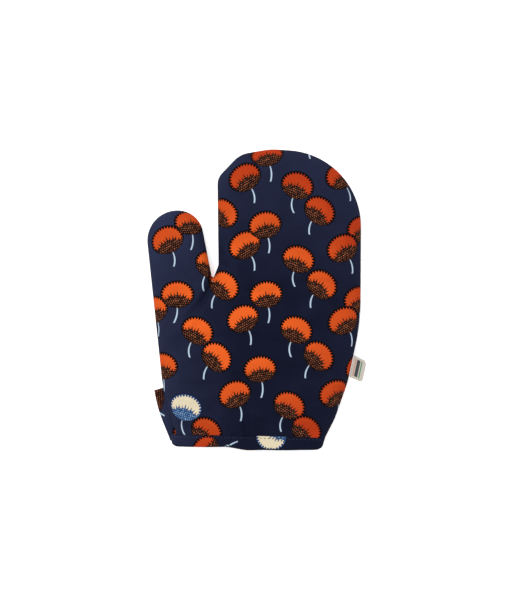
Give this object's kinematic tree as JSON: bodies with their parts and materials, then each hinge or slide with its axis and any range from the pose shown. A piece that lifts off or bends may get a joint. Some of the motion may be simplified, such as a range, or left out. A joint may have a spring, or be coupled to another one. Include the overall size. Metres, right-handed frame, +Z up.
{
  "type": "oven mitt",
  "caption": "Padded cotton oven mitt lying flat, with a bound cuff, a hanging loop and a side label; the fingers curl, the thumb pinches, the loop and label swing.",
  "frame": {"origin": "middle of the mitt's footprint, on the surface that it lies on", "axes": "+Y from the cuff to the fingertips, +X away from the thumb, +Z up out of the surface"},
  "size_m": [0.2186, 0.2996, 0.0266],
  "materials": {
    "printed_cotton": "printed woven cotton, matt",
    "batting": "needled cotton wadding",
    "lining_cloth": "plain woven natural cotton",
    "binding_cotton": "printed woven cotton, folded and pressed",
    "navy_thread": "spun polyester sewing thread",
    "label_weave": "woven satin tape, folded"
  },
  "bodies": {
    "palm": {"palm_front_shell": "printed_cotton", "palm_front_batting": "batting", "palm_front_lining": "lining_cloth", "palm_back_shell": "printed_cotton", "palm_back_batting": "batting", "palm_back_lining": "lining_cloth", "palm_seam_thread": "navy_thread", "cuff_binding": "binding_cotton", "binding_topstitch": "navy_thread"},
    "fingers": {"fingers_front_shell": "printed_cotton", "fingers_front_batting": "batting", "fingers_front_lining": "lining_cloth", "fingers_back_shell": "printed_cotton", "fingers_back_batting": "batting", "fingers_back_lining": "lining_cloth", "fingers_seam_thread": "navy_thread"},
    "thumb": {"thumb_front_shell": "printed_cotton", "thumb_front_batting": "batting", "thumb_front_lining": "lining_cloth", "thumb_back_shell": "printed_cotton", "thumb_back_batting": "batting", "thumb_back_lining": "lining_cloth", "thumb_seam_thread": "navy_thread"},
    "loop": {"hanging_loop": "binding_cotton", "loop_bartack": "navy_thread"},
    "label": {"side_label": "label_weave"}
  },
  "joints": [
    {"name": "finger_curl", "type": "hinge", "parent": "palm", "child": "fingers", "pos_m": [0, 0.048, 0.026], "axis": [1, 0, 0], "range_deg": [0, 75]},
    {"name": "thumb_pinch", "type": "hinge", "parent": "palm", "child": "thumb", "pos_m": [-0.0765, 0.019, 0.026], "axis": [0.8488, 0.5287, 0], "range_deg": [0, 50]},
    {"name": "loop_swing", "type": "hinge", "parent": "palm", "child": "loop", "pos_m": [-0.0825, -0.1405, 0.0005], "axis": [0, 0, 1], "range_deg": [0, 160]},
    {"name": "label_flip", "type": "hinge", "parent": "palm", "child": "label", "pos_m": [0.09819, -0.05611, 0.012], "axis": [-0.2102, -0.9777, 0], "range_deg": [-60, 85]}
  ]
}
